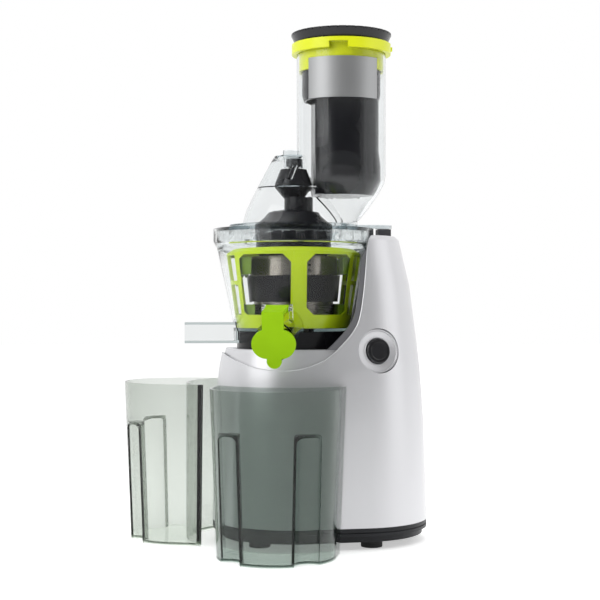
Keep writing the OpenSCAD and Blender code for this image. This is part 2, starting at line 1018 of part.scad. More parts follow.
// Rubber ring that seals the auger's neck in the bowl's floor
module hub_seal() {
    color("#2f2f33")
        place()
            translate([0, 0, bowl_z])
                ring(hub_r + 3.4, hub_r + running, floor_top - bowl_z + 0.1);
}

module idler_gear() {
    color("#2b2c30")
        place()
            translate([idler_c * cos(idler_angle), idler_c * sin(idler_angle), gear_z])
                difference() {
                    gear(brush_mod, idler_teeth, gear_h, idler_angle + 180 / idler_teeth);
                    translate([0, 0, -1])
                        cylinder(h = 20, r = 3 + running);
                }
}

module idler_pin() {
    color("#b9bbbf")
        place()
            translate([idler_c * cos(idler_angle), idler_c * sin(idler_angle), floor_top - 2])
                cylinder(h = gear_h + 2.2, r = 3);
}

// Black foot of the strainer: a plate over the gears on three legs
module strainer_base() {
    color("#232427")
        place() {
            translate([0, 0, mesh_z - 1.2])
                ring(mesh_r + 1.5, hub_r + 4.2, 1.2);
            for (a = [90, 180, 270])
                rotate([0, 0, idler_angle + a])
                    translate([mesh_r - 6, -5, floor_top + 0.1])
                        cube([5, 10, mesh_z - 1.2 - floor_top]);
        }
}

// Fine metal sieve of the strainer's lower part
module strainer_mesh() {
    color("#b7b1a8")
        place()
            translate([0, 0, mesh_z])
                difference() {
                    cylinder(h = band_z - mesh_z, r = mesh_r);
                    translate([0, 0, -1])
                        cylinder(h = band_z - mesh_z + 2, r = mesh_r - 1);
                    for (a = [0:15:345])
                        rotate([0, 0, a])
                            translate([mesh_r - 3, -0.4, 3])
                                cube([6, 0.8, band_z - mesh_z - 6]);
                }
}

// Black plastic middle of the strainer
module strainer_band() {
    color("#2b2c31")
        place()
            rotate_extrude()
                polygon([
                    [mesh_r - 1, band_z], [band_r - 2.5, band_z], [band_r, upper_z], [strainer_r - 2.5, upper_z]
                ]);
}

// Bright upper metal of the strainer with its small square holes
module strainer_collar() {
    color("#b7b1a8")
        place()
            translate([0, 0, upper_z])
                difference() {
                    cylinder(h = strainer_top - upper_z, r = strainer_r);
                    translate([0, 0, -1])
                        cylinder(h = strainer_top, r = strainer_r - 1);
                    for (a = [-74, 16, 106, 196])
                        rotate([0, 0, a])
                            for (i = [0:2])
                                translate([strainer_r - 3, -1.2, 4 + 5 * i])
                                    cube([6, 2.4, 2.4]);
                }
}

// Yellow-green cage that turns round the strainer, with the ring gear inside its foot
function wall_r(z) = bowl_floor_r + (bowl_top_r - bowl_floor_r) * (z - bowl_z) / (rim_low - 12 - bowl_z) - clear_wall;
module brush_frame() {
    color("#b5d334")
        place()
            difference() {
                rotate_extrude($fn = 96)
                    polygon([
                        [brush_mod * ring_teeth / 2 - brush_mod - 1, frame_low], [foot_r, frame_low],
                        [wall_r(frame_foot) - 1.2, frame_foot], [frame_r, frame_shoulder],
                        [frame_r, frame_shoulder + 2], [frame_r - 6, frame_top],
                        [frame_r - 6 - frame_t, frame_top], [frame_r - frame_t, frame_shoulder],
                        [wall_r(frame_foot) - 1.2 - frame_t, frame_foot],
                        [brush_mod * ring_teeth / 2 - brush_mod - 1, frame_foot]
                    ]);
                translate([0, 0, frame_low - 1])
                    linear_extrude(height = gear_h + 1 + 0.4)
                        rotate([0, 0, idler_angle + 180 / ring_teeth])
                            polygon(gear_points(brush_mod, ring_teeth, 1.25 * brush_mod, brush_mod, -0.12));
                translate([0, 0, frame_low + gear_h])
                    cylinder(h = 20, r = brush_mod * ring_teeth / 2 + 2.4);
                for (turn = [0, 180], side = [-1, 1])
                    rotate([0, 0, turn])
                        mirror([side > 0 ? 0 : 1, 0, 0])
                            rotate([90, 0, 0])
                                linear_extrude(height = 90)
                                    front_window(side > 0 ? bar_shift : 0);
                for (turn = [90, 270])
                    rotate([0, 0, turn])
                        rotate([90, 0, 0])
                            linear_extrude(height = 90)
                                side_windows();
            }
}
module front_window(shift) {
    low = wall_r(window_low) * sin(bar_turn) - 3 - shift;
    high = frame_r * sin(bar_turn) - bar_w - shift;
    polygon([
        [post_w / 2 + 7, window_low], [low - 3, window_low], [low, window_low + 3], [high, window_top - 4],
        [high - 4, window_top], [post_w / 2 + 8, window_top], [post_w / 2, window_top - 8],
        [post_w / 2, window_low + 7]
    ]);
}
module side_windows() {
    mid = (window_low + window_top) / 2 + 2;
    for (s = [-1, 1]) {
        widen = bar_w / 2 - (s < 0 ? 1.6 * bar_shift : 0);
        low = wall_r(window_low) * cos(bar_turn) - widen;
        high = frame_r * cos(bar_turn) - widen;
        middle = (low + high) / 2;
        polygon([
            [s * low, window_low], [s * middle, mid - 2], [s * side_post, mid - 2], [s * side_post, window_low]
        ]);
        polygon([
            [s * middle, mid + 2], [s * high, window_top], [s * side_post, window_top],
            [s * side_post, mid + 2]
        ]);
    }
}

// Dark green wiper blocks inside the cage's bars
module wiper_blades() {
    color("#4f7d1e")
        place()
            intersection() {
                for (turn = [0, 180], side = [0, 1])
                    rotate([0, 0, turn])
                        mirror([side, 0, 0]) {
                            translate([strainer_r + 0.7, -frame_r, upper_z + 1])
                                cube([10.5, frame_r - 7, strainer_top - upper_z - 3]);
                            translate([mesh_r + 0.7, -frame_r, frame_foot + 0.5])
                                cube([10.5, frame_r - 7, band_z - frame_foot - 3]);
                        }
                rotate_extrude($fn = 96)
                    polygon([
                        [0, frame_foot], [wall_r(frame_foot) - 1.3 - frame_t, frame_foot],
                        [frame_r - frame_t - 0.1, frame_shoulder], [0, frame_shoulder]
                    ]);
            }
}

// Black squeezing screw
module auger() {
    color("#2a2b2f")
        place()
            difference() {
                union() {
                    rotate_extrude()
                        polygon([
                            [0, gear_z + gear_h + 0.1], [hub_r + 3.6, gear_z + gear_h + 0.1],
                            [hub_r + 3.6, auger_low], [auger_core - 1, auger_low],
                            [auger_core + 3, strainer_top], [mesh_r - 2, strainer_top + 4],
                            [mesh_r - 1, rim_z + 4.5], [mesh_r - 10, rim_z + 11],
                            [25, rim_z + 16.5], [9.2, rim_z + 19.5], [9.2, rim_z + 30],
                            [18.6, rim_z + 41], [18.6, rim_z + 45], [13, rim_z + 59],
                            [5, rim_z + 59], [5, pin_top], [0, pin_top]
                        ]);
                    translate([0, 0, auger_low])
                        linear_extrude(height = strainer_top - auger_low + 2, twist = -400, slices = 40)
                            square([2 * (mesh_r - 2.2), 6], center = true);
                    translate([5.2, 0, rim_z + 15])
                        cylinder(h = 16.5, r = 14.2);
                }
                translate([0, 0, gear_z])
                    cylinder(h = hex_top + 3 - gear_z, r = insert_r + 0.02);
            }
}

// Small gear under the auger, with the neck that runs in the bowl's seal
module auger_gear() {
    color("#3a3b40")
        place()
            difference() {
                union() {
                    translate([0, 0, gear_z])
                        gear(brush_mod, sun_teeth, gear_h, idler_angle);
                    translate([0, 0, bowl_z + 0.5])
                        cylinder(h = gear_z - bowl_z - 0.5 + eps, r = hub_r);
                }
                translate([0, 0, bowl_z - 1])
                    cylinder(h = 30, r = insert_r + 0.02);
            }
}

// Steel socket in the auger that takes the output shaft
module auger_hex_insert() {
    color("#b9bbbf")
        place()
            translate([0, 0, bowl_z + 0.6])
                difference() {
                    cylinder(h = hex_top + 2.8 - bowl_z - 0.6, r = insert_r);
                    translate([0, 0, -1])
                        hexagon(hex_af + 0.3, hex_top + 1 - bowl_z);
                }
}

// Lime cap on the juice spout, with its neck, strap and hinge knuckle
module juice_cap() {
    color("#9ccb0a")
        place()
            at_spout_end()
                difference() {
                    union() {
                        translate([0, 0, 1.5])
                            linear_extrude(height = 3.6)
                                union() {
                                    for (sx = [-1, 1])
                                        translate([sx * 7, -2])
                                            circle(r = 13.6);
                                    translate([-7, -15.6])
                                        square([14, 27.2]);
                                    translate([0, -18])
                                        circle(r = 7);
                                    translate([-10, 0])
                                        square([20, hinge_up + 3]);
                                }
                        translate([-10, hinge_up - 0.5, -hinge_back])
                            cube([20, 3.5, hinge_back + 1.6]);
                        translate([-10.8, hinge_up, -hinge_back])
                            rotate([0, 90, 0])
                                cylinder(h = 21.6, r = 3.6);
                    }
                    translate([-20, hinge_up, -hinge_back])
                        rotate([0, 90, 0])
                            cylinder(h = 40, r = hinge_r + running);
                }
}

module cap_hinge_pin() {
    color("#b9bbbf")
        place()
            at_spout_end()
                translate([-14.3, hinge_up, -hinge_back])
                    rotate([0, 90, 0])
                        cylinder(h = 28.6, r = hinge_r);
}

module cap_seal() {
    color("#e8e8e4")
        place()
            at_spout_end()
                translate([0, 0, 0.3])
                    ring(13.3, 9, 1.2);
}

// Clear lid: plate with its skirt and lobe, hood over the auger and the wide feed chute
module hood_form(d) {
    ledge = d > 0 ? 1.5 : 0;
    rotate_extrude($fn = 96)
        polygon([
            [0, throat_top - 6], [50.5 - d, throat_top - 6], [50.5 - d, throat_top],
            [47 - d, hood_top - 53], [37 - d, hood_top - 33], [36.5 - d - ledge, hood_top - 32],
            [24 - d - ledge, hood_top - 8], [19 - d - ledge, hood_top - d], [0, hood_top - d]
        ]);
}
module hood_rib() {
    top_end = [-0.5, -25.4, hood_top - 11.3];
    run = [-6, -6.8, -14];
    rib_r = 2.4;
    translate(top_end)
        rotate([0, acos(run[2] / norm(run)), atan2(run[1], run[0])])
            cylinder(h = norm(run), r = rib_r);
}
function chute_line(d) = [
    [16.5 - d, plate_top - 1], [16.5 - d, throat_top],
    [0.57 * chute_r - d, throat_top + 11 + d / 2], [0.817 * chute_r - d, throat_top + 26 + d / 2],
    [0.969 * chute_r - d, throat_top + 38 + d / 2], [chute_r - d, throat_top + 46]
];
function inside_chute(z) = lookup(z, [for (p = chute_line(clear_wall)) [p[1], p[0]]]);
module chute_form(d) {
    translate([chute_x, 0, 0])
        rotate_extrude($fn = 96)
            polygon(concat([[0, plate_top - 1]], chute_line(d), [
                [chute_r - d, chute_top + (d > 0 ? 1 : 0)], [0, chute_top + (d > 0 ? 1 : 0)]
            ]));
}
module lid() {
    color("#e8eef0", 0.4)
        place() {
            difference() {
                union() {
                    rotate_extrude($fn = 96)
                        polygon([
                            [throat_r, rim_z - 3], [rim_r - clear_wall - 3, rim_z - 3],
                            [rim_r - clear_wall - 3, ledge_z + 0.3], [rim_r - clear_wall - 0.4, ledge_z + 0.3],
                            [rim_r - clear_wall - 0.4, rim_z], [64, rim_z + 0.6], [64, plate_top],
                            [throat_r, plate_top]
                        ]);
                    hood_form(0);
                    hood_rib();
                    translate([hood_boss_x, 0, hood_top - 1])
                        cylinder(h = hood_boss_h + 1, r = hood_boss_r);
                    chute_form(0);
                    translate([lobe_x - 2 * lobe_r - 2, -lobe_r, lobe_z])
                        cube([2 * lobe_r + 2, 2 * lobe_r, plate_top - lobe_z]);
                    translate([lobe_x, 0, lobe_z])
                        cylinder(h = plate_top - lobe_z, r = lobe_r);
                    translate([rim_r + 7.5, -3.5, body_h + 3])
                        cube([5, 7, lobe_z - body_h - 3 + eps]);
                }
                hood_form(clear_wall);
                chute_form(clear_wall);
                translate([0, 0, rim_z - 10])
                    cylinder(h = throat_top - rim_z + 10, r = throat_r);
            }
            translate([0, 0, hood_top - clear_wall - 10])
                ring(9.6, 7.6, 10 + eps);
        }
}

// Bush under the hood's top that guides the auger's pin
module top_bushing() {
    color("#232427")
        place()
            translate([0, 0, hood_top - clear_wall - 8])
                ring(7.5, 5 + running, 7.9);
}

// Yellow collar on the chute's mouth, with a notch and a skirt inside the chute
module chute_collar() {
    color("#dbe64a")
        place()
            translate([chute_x, 0, chute_top])
                difference() {
                    union() {
                        translate([0, 0, -6])
                            cylinder(h = 10, r = collar_lip_r);
                        translate([0, 0, -2])
                            rotate([0, 0, -4])
                                translate([collar_lip_r - 1, -2, 0])
                                    cube([2.6, 4, 4]);
                    }
                    translate([0, 0, -7])
                        cylinder(h = 7.05, r = chute_r + 0.15);
                    translate([0, 0, -10])
                        cylinder(h = 20, r = skirt_in);
                    rotate([0, 0, -100])
                        translate([40, -9, -8])
                            cube([20, 18, 8.1]);
                }
    color("#9fae3a")
        place()
            translate([chute_x, 0, chute_top - 24])
                ring(skirt_r, skirt_in, 24 + 1);
}

// Bare silver plate on the front of the chute
module label_plate() {
    color("#b4b6bc")
        place()
            translate([chute_x, 0, chute_top - 54])
                intersection() {
                    ring(chute_r + 0.7, chute_r + 0.1, label_h);
                    translate([-label_w / 2 - 2, -chute_r - 5, 0])
                        cube([label_w, 40, label_h]);
                }
}

// Charcoal pusher: a hollow stem with a flat side, flared at its foot
module pusher_body() {
    color("#34353a")
        place()
            translate([chute_x, 0, 0])
                difference() {
                    rotate_extrude()
                        polygon([
                            [0, push_z], [inside_chute(push_z) - push_gap, push_z],
                            [inside_chute(push_z + 5) - push_gap, push_z + 5],
                            [min(inside_chute(push_z + 14) - push_gap, skirt_in - 0.4), push_z + 14],
                            [skirt_in - 0.5, push_z + 30], [stem_r, push_z + 44], [stem_r, step_z],
                            [skirt_in - 0.6, step_z + 6], [skirt_in - 0.6, chute_top + 4.3],
                            [skirt_in - 3.2, chute_top + 4.3], [skirt_in - 3.2, step_z + 6],
                            [stem_r - 2.8, step_z - 2], [stem_r - 2.8, push_z + 16],
                            [inside_chute(push_z + 3) - push_gap - 2.6, push_z + 3], [0, push_z + 3]
                        ]);
                    translate([-60, -50, push_z - 1])
                        cube([60 + flat_x, 100, step_z - push_z + 1]);
                }
    color("#34353a")
        place()
            translate([chute_x, 0, 0])
                intersection() {
                    translate([flat_x, -50, push_z])
                        cube([2.6, 100, step_z + 2 - push_z]);
                    union() {
                        translate([0, 0, push_z])
                            cylinder(h = 16, r = inside_chute(push_z) - push_gap);
                        translate([0, 0, push_z + 15])
                            cylinder(h = step_z - 13 - push_z, r = stem_r - 1.4);
                    }
                }
}

// Charcoal cap of the pusher: flared serrated rim with a dished top
module pusher_cap() {
    color("#2b2c30")
        place()
            translate([chute_x, 0, chute_top + 4.3])
                difference() {
                    rotate_extrude($fn = 96)
                        polygon([
                            [0, 0.2], [skirt_in - 4, 0.2], [skirt_in - 3.6, -3], [skirt_in - 3.4, -3],
                            [skirt_in - 3.4, 0.2], [pusher_rim_r - 4, 0], [pusher_rim_r - 0.8, pusher_head - 3],
                            [pusher_rim_r, pusher_head - 1.6], [pusher_rim_r, pusher_head],
                            [pusher_rim_r - 3, pusher_head], [pusher_rim_r - 8, pusher_head - 5], [0, pusher_head - 5]
                        ]);
                    for (a = [0:10:350])
                        rotate([0, 0, a])
                            translate([pusher_rim_r + 0.3, 0, pusher_head - 2])
                                cylinder(h = 4, r = 1);
                }
}

// Smoky cup: round front with two grip flutes, straight sides and a back hollowed round the body
module cup_form(inset) {
    translate([cup_c, 0, inset > 0 ? 3 : 0])
        linear_extrude(height = cup_h + (inset > 0 ? 0.01 : 0) - (inset > 0 ? 3 : 0), scale = 1 / cup_taper)
            scale(cup_taper)
                difference() {
                    union() {
                        circle(r = cup_r - inset);
                        translate([50 - cup_c, -cup_r + inset])
                            square([cup_c - 50, 2 * (cup_r - inset)]);
                    }
                    translate([-cup_c, 0])
                        circle(r = cup_back_r + inset, $fn = 96);
                }
}
module cup_flutes(grow) {
    for (side = [-1, 1])
        translate([cup_c, 0, -5])
            rotate([0, 0, side * 40])
                rotate([0, flute_lean, 0])
                    intersection() {
                        translate([cup_taper * cup_r + 3, 0, 0])
                            cylinder(h = cup_h - flute_drop + 5 + grow, r = flute_w / 2 + grow);
                        translate([20, 0, 0])
                            rotate([90, 0, 90])
                                linear_extrude(height = 80)
                                    flute_arch(grow);
                    }
}
module flute_arch(grow) {
    top = cup_h - flute_drop + 5 + grow;
    half = flute_w / 2 + grow;
    translate([-half, 0])
        square([2 * half, top - 8]);
    translate([-half + 8, 0])
        square([2 * half - 16, top]);
    for (sx = [-1, 1])
        translate([sx * (half - 8), top - 8])
            circle(r = 8);
}
module cup_body() {
    difference() {
        cup_form(0);
        cup_flutes(0);
        difference() {
            cup_form(cup_wall);
            cup_flutes(cup_wall);
        }
    }
}

module juice_cup() {
    color("#8f9c92", 0.6)
        place()
            rotate([0, 0, 270 - spout_az])
                translate([juice_gap - 4, 0, 0])
                    cup_body();
}

module pulp_cup() {
    color("#9aa69c", 0.6)
        place()
            rotate([0, 0, 180 - spout_az])
                translate([pulp_gap - 4, 0, 0])
                    cup_body();
}

body_shell();
deck();
tower_liner();
base_plate();
rubber_feet();
bottom_screws();
coupling_collar();
interlock_socket();
gearbox_tray();
gearbox_cover();
gearbox_screws();
motor_housing();
motor_end_plate();
motor_rotor();
cooling_fan();
lower_motor_bearing();
upper_motor_bearing();
intermediate_gear();
intermediate_pin();
output_gear();
output_shaft();
output_bearing();
shaft_seal();
control_board();
button_dish();
button_cap();
button_switch();
cord_gland();
juice_bowl();
hub_seal();
idler_gear();
idler_pin();
strainer_base();
strainer_mesh();
strainer_band();
strainer_collar();
brush_frame();
wiper_blades();
auger();
auger_gear();
auger_hex_insert();
juice_cap();
cap_hinge_pin();
cap_seal();
lid();
top_bushing();
chute_collar();
label_plate();
pusher_body();
pusher_cap();
juice_cup();
pulp_cup();
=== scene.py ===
import bpy, bmesh, json, math
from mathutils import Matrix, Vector

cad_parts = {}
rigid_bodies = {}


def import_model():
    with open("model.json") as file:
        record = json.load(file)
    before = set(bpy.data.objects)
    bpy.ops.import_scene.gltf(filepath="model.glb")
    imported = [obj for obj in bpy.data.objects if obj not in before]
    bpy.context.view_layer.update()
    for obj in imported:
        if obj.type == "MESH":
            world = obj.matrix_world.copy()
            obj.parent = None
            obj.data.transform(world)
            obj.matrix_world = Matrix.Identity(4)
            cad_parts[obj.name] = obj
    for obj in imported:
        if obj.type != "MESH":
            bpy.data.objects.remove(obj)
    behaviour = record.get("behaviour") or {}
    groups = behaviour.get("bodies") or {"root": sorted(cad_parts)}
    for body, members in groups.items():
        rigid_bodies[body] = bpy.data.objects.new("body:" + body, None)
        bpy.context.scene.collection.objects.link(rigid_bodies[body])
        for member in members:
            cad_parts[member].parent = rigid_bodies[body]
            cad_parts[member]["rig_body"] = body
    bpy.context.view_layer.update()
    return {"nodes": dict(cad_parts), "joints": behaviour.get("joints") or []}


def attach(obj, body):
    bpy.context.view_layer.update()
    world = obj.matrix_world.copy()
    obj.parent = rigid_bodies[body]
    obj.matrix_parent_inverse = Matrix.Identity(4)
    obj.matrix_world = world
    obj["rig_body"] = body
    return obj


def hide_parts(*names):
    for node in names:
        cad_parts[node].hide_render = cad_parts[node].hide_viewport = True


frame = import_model()

# The camera: a long lens on a level tripod, at the height of the bowl. It stands 1.35 m away and
# five degrees to the left of the juicer's own front, and looks just past the bowl's middle.
scene = bpy.context.scene
scene.view_settings.view_transform = "Standard"
clear_walls_crossed, light_bounces = 40, 24
scene.cycles.transparent_max_bounces = clear_walls_crossed
scene.cycles.max_bounces = scene.cycles.transmission_bounces = light_bounces

bowl_x, bowl_y = next(joint for joint in frame["joints"] if joint["name"] == "auger_spin")["pos_m"][:2]
camera_away, camera_aside, camera_height = 1.35, 0.0065, 0.2387
camera_turn = math.radians(-5)
lens_length, film_width = 81, 36
photo_camera = bpy.data.cameras.new("photo_camera")
photo_camera.lens, photo_camera.sensor_width = lens_length, film_width
scene.camera = bpy.data.objects.new("photo_camera", photo_camera)
scene.collection.objects.link(scene.camera)
scene.camera.location = (
    bowl_x + camera_away * math.sin(camera_turn) + camera_aside * math.cos(camera_turn),
    bowl_y - camera_away * math.cos(camera_turn) + camera_aside * math.sin(camera_turn),
    camera_height)
scene.camera.rotation_euler = (math.radians(90), 0, camera_turn)

# The studio: white paper all round, as the camera and the clear plastic see it. The lacquer and
# the light on the juicer get a room that is dark in front and bright behind.
world = bpy.data.worlds.new("studio")
scene.world = world


class Value:
    """One output of a shader node, which sums, products and powers are written with."""

    def __init__(self, nodes, socket):
        self.nodes, self.socket = nodes, socket

    def __add__(self, other):
        return self.nodes.maths("ADD", self, other)

    def __radd__(self, other):
        return self.nodes.maths("ADD", other, self)

    def __sub__(self, other):
        return self.nodes.maths("SUBTRACT", self, other)

    def __rsub__(self, other):
        return self.nodes.maths("SUBTRACT", other, self)

    def __mul__(self, other):
        return self.nodes.maths("MULTIPLY", self, other)

    def __rmul__(self, other):
        return self.nodes.maths("MULTIPLY", other, self)

    def __pow__(self, other):
        return self.nodes.maths("POWER", self, other)


class Nodes:
    """The shader nodes of a world or a material, added one call at a time."""

    def __init__(self, owner):
        owner.use_nodes = True
        self.tree = owner.node_tree

    def put(self, socket, value):
        if isinstance(value, Value):
            self.tree.links.new(value.socket, socket)
        elif socket.type == "RGBA":
            socket.default_value = (*value, 1)
        else:
            socket.default_value = value

    def node(self, kind, settings=None, sockets=None, output=0):
        node = self.tree.nodes.new(kind)
        for key, value in (settings or {}).items():
            setattr(node, key, value)
        for key, value in (sockets or {}).items():
            self.put(node.inputs[key], value)
        return Value(self, node.outputs[output])

    def maths(self, operation, *values, clamped=False):
        return self.node("ShaderNodeMath", {"operation": operation, "use_clamp": clamped},
                         dict(enumerate(values)))

    def rays(self, kind):
        return self.node("ShaderNodeLightPath", output=kind)


studio = Nodes(world)
seen = studio.maths("MAXIMUM", studio.rays("Is Camera Ray"), studio.rays("Is Transmission Ray"))
bounced = studio.rays("Diffuse Depth") + studio.rays("Glossy Depth")
seen_directly = studio.maths("SUBTRACT", seen, bounced, clamped=True)
way = studio.node("ShaderNodeTexCoord", output="Generated")
backwards = studio.node("ShaderNodeSeparateXYZ", sockets={"Vector": way}, output="Y")
room = studio.node("ShaderNodeMapRange", sockets={
    "Value": backwards, "From Min": -0.9, "From Max": 0.3, "To Min": 0.05, "To Max": 1.0})
white_paper = 1.0
factor, first_value, second_value = 0, 2, 3
brightness = studio.node("ShaderNodeMix", sockets={
    factor: seen_directly, first_value: room, second_value: white_paper})
background = studio.tree.nodes["Background"]
studio.put(background.inputs["Strength"], brightness)
studio.put(background.inputs["Color"], (1, 1, 1))


# The lamps: a large softbox on the left, weaker ones on the right and overhead, and one above
# the camera that fills the shadows. Glossy and clear pieces don't mirror that one.
def soft_lamp(name, place, aim, size, watts):
    lamp = bpy.data.lights.new(name, "AREA")
    lamp.shape, lamp.energy = "RECTANGLE", watts
    lamp.size, lamp.size_y = size
    holder = bpy.data.objects.new(name, lamp)
    holder.location = place
    holder.rotation_euler = (Vector(aim) - Vector(place)).to_track_quat("-Z", "Y").to_euler()
    scene.collection.objects.link(holder)
    return holder


soft_lamp("left_softbox", place=(-1.3, -0.9, 1.0), aim=(0, 0, 0.25), size=(1.1, 1.4), watts=12)
soft_lamp("right_softbox", place=(1.4, -0.5, 0.8), aim=(0, 0, 0.25), size=(0.9, 1.4), watts=3.2)
soft_lamp("top_softbox", place=(0, 0.2, 1.6), aim=(0, 0, 0.2), size=(1.0, 1.0), watts=3)
fill = soft_lamp("front_softbox", place=(0.2, -1.5, 2.1), aim=(0, 0, 0.15), size=(1.2, 0.9), watts=16)
fill.visible_glossy = fill.visible_transmission = False

# The counter: a wide matt white table top that isn't part of the juicer. It glows a little, so
# that it is as white as the paper behind it, and less of that glow falls back on the juicer.
counter_radius, counter_corners = 6, 64
counter_mesh = bmesh.new()
bmesh.ops.create_circle(counter_mesh, cap_ends=True, segments=counter_corners, radius=counter_radius)
counter_data = bpy.data.meshes.new("counter")
counter_mesh.to_mesh(counter_data)
counter_mesh.free()
counter = bpy.data.objects.new("counter", counter_data)
scene.collection.objects.link(counter)


class Finish(Nodes):
    """A material whose patterns are laid on the piece's own coordinates."""

    def __init__(self, name, **surface):
        self.material = bpy.data.materials.new(name)
        super().__init__(self.material)
        self.bsdf = self.tree.nodes["Principled BSDF"]
        self.shader = Value(self, self.bsdf.outputs[0])
        self.place = self.node("ShaderNodeTexCoord", output="Object")
        self.surface(**surface)

    def surface(self, **values):
        for key, value in values.items():
            self.put(self.bsdf.inputs[key.replace("_", " ").title().replace("Ior", "IOR")], value)

    def show(self, **outputs):
        for key, value in outputs.items():
            self.put(self.tree.nodes["Material Output"].inputs[key.title()], value)

    def noise(self, scale, detail=2, stretch=None):
        at = self.place
        if stretch:
            at = self.node("ShaderNodeMapping", sockets={"Vector": at, "Scale": stretch})
        return self.node("ShaderNodeTexNoise", sockets={"Vector": at, "Scale": scale, "Detail": detail})

    def mixed(self, share, first, second):
        factor, first_color, second_color, mixed_color = 0, 6, 7, 2
        return self.node("ShaderNodeMix", {"data_type": "RGBA"},
                         {factor: share, first_color: first, second_color: second}, mixed_color)

    def blended(self, share, first, second):
        return self.node("ShaderNodeMixShader", sockets={0: share, 1: first, 2: second})

    def bumped(self, height, depth):
        self.surface(normal=self.node(
            "ShaderNodeBump", sockets={"Height": height, "Strength": 1.0, "Distance": depth}))


counter_color, counter_glow, glow_held_back = (0.9, 0.9, 0.9), 0.48, 0.55
counter_finish = Finish("white_counter", base_color=counter_color, roughness=0.9, specular_ior_level=0.0)
glow = counter_finish.node("ShaderNodeEmission", sockets={"Color": (1, 1, 1), "Strength": counter_glow})
glowing = counter_finish.node("ShaderNodeAddShader", sockets={0: counter_finish.shader, 1: glow})
held_back = counter_finish.rays("Is Diffuse Ray") * glow_held_back
counter_finish.show(surface=counter_finish.blended(held_back, glowing, counter_finish.shader))
counter_data.materials.append(counter_finish.material)


def shaded(color, share):
    return tuple(share * channel for channel in color)


def moulded(name, color, roughness, grain=900, depth=0.00003, coat=0.0, gloss=0.5):
    """Injection moulded plastic: a fine skin grain, and patches that are a little more worn."""
    patch_scale, patch_shade, shine, wear = 38, 0.8, 0.06, 0.14
    finish = Finish(name, coat_weight=coat, coat_roughness=0.08, specular_ior_level=gloss)
    patches = finish.noise(patch_scale, detail=4)
    finish.surface(base_color=finish.mixed(patches ** 2, color, shaded(color, patch_shade)),
                   roughness=roughness - shine + patches * wear)
    finish.bumped(finish.noise(grain), depth)
    return finish


def brushed(name, color, roughness, stretch=(60, 60, 2400)):
    """Brushed or turned metal: long fine scratches, and a duller haze in patches."""
    haze_scale, line_shade, line_depth = 30, 0.86, 0.00002
    shine, line_wear, haze_wear = 0.05, 0.1, 0.06
    finish = Finish(name, metallic=1.0)
    lines = finish.noise(1.0, detail=5, stretch=stretch)
    haze = finish.noise(haze_scale, detail=3)
    finish.surface(base_color=finish.mixed(lines, shaded(color, line_shade), color),
                   roughness=roughness - shine + lines * line_wear + haze * haze_wear)
    finish.bumped(lines, line_depth)
    return finish


def coat_nodes(finish, *nodes):
    """Gives pieces whose own mesh is right as it is a finish."""
    for node in nodes:
        part = frame["nodes"][node]
        part.data.materials.clear()
        part.data.materials.append(finish.material)


def smooth_copy(node, finish, crease=32, edge=0.0, join=0.000004, rounded=None):
    """The node's own shape with its triangles joined, curved faces shaded soft and edges eased:
    all sharp edges, or only the ones that the function rounded picks by their middle."""
    flat_enough, edge_steps = math.radians(0.4), 2
    source = frame["nodes"][node]
    shape = bmesh.new()
    shape.from_mesh(source.data)
    bmesh.ops.remove_doubles(shape, verts=shape.verts, dist=join)
    bmesh.ops.dissolve_limit(shape, angle_limit=flat_enough, verts=shape.verts, edges=shape.edges)
    for face in shape.faces:
        face.smooth = True
    for line in shape.edges:
        line.smooth = line.calc_face_angle(0) < math.radians(crease)
    if rounded:
        weights = shape.edges.layers.float.new("bevel_weight_edge")
        for line in shape.edges:
            middle = (line.verts[0].co + line.verts[1].co) / 2
            line[weights] = 1.0 if not line.smooth and rounded(middle) else 0.0
    data = bpy.data.meshes.new(node + "_finished")
    shape.to_mesh(data)
    shape.free()
    piece = bpy.data.objects.new(node + "_finished", data)
    scene.collection.objects.link(piece)
    data.materials.append(finish.material)
    if edge:
        ease = piece.modifiers.new("eased_edges", "BEVEL")
        ease.width, ease.segments, ease.limit_method = edge, edge_steps, "ANGLE"
        ease.angle_limit, ease.harden_normals = math.radians(crease), True
        if rounded:
            ease.limit_method, ease.use_clamp_overlap = "WEIGHT", False
            ease.harden_normals, ease.loop_slide = False, False
    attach(piece, source["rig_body"])
    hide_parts(node)


plinth_plastic = moulded("plinth_plastic", (0.016, 0.017, 0.020), 0.42, grain=1100, gloss=0.25)
smooth_copy("base_plate", plinth_plastic, edge=0.0005)
foot_rubber = moulded("foot_rubber", (0.015, 0.015, 0.016), 0.7, grain=700, depth=0.00006)
smooth_copy("rubber_feet", foot_rubber, edge=0.0006)
screw_steel = brushed("screw_steel", (0.55, 0.55, 0.54), 0.3)
coat_nodes(screw_steel, "bottom_screws")

# The motor: a drawn steel can with its end plate, rotor with copper windings, cooling fan and
# two ball bearings. All of it sits out of sight below the deck.
motor_steel = brushed("motor_steel", (0.42, 0.42, 0.43), 0.38)
coat_nodes(motor_steel, "motor_housing", "motor_end_plate")
bearing_steel = brushed("bearing_steel", (0.66, 0.66, 0.65), 0.18)
coat_nodes(bearing_steel, "lower_motor_bearing", "upper_motor_bearing")
copper = brushed("copper_windings", (0.65, 0.32, 0.16), 0.35, stretch=(30, 30, 1500))
coat_nodes(copper, "motor_rotor")
hidden_plastic = moulded("hidden_plastic", (0.05, 0.05, 0.055), 0.55, grain=800)
coat_nodes(hidden_plastic, "cooling_fan")

# The gearbox: ivory acetal wheels on a steel pin and shaft, in a black tray whose cover is held
# by screws. The wheels bring the motor down to some forty turns a minute.
gear_plastic = moulded("gear_plastic", (0.72, 0.69, 0.6), 0.45, grain=600)
coat_nodes(gear_plastic, "intermediate_gear", "output_gear")
coat_nodes(bearing_steel, "intermediate_pin", "output_shaft", "output_bearing")
coat_nodes(hidden_plastic, "gearbox_tray", "gearbox_cover")
coat_nodes(screw_steel, "gearbox_screws")

